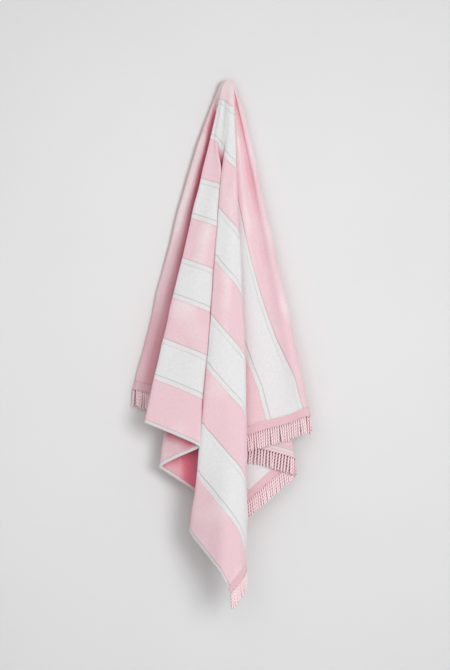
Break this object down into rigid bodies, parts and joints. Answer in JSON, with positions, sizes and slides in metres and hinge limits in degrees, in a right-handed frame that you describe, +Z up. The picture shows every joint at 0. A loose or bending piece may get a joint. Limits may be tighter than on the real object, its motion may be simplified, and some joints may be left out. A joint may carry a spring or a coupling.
{
  "type": "beach towel",
  "caption": "Striped cotton beach towel hanging in loose folds from one point near the middle of a long edge, with a corded fringe on both short ends.",
  "frame": {"origin": "the hang point, at the middle of the rounded top of the gathered cloth", "axes": "+Z up, -Y towards the room and away from the wall, +X to the right as seen from the room"},
  "size_m": [0.4416, 0.1524, 1.2954],
  "materials": {
    "towel": "matte cotton pile, pink and white stripes",
    "fringe_left": "matte cotton tape with twisted cords",
    "fringe_right": "matte cotton tape with twisted cords"
  },
  "bodies": {
    "root": {"towel": "towel", "fringe_left": "fringe_left", "fringe_right": "fringe_right"}
  },
  "joints": []
}
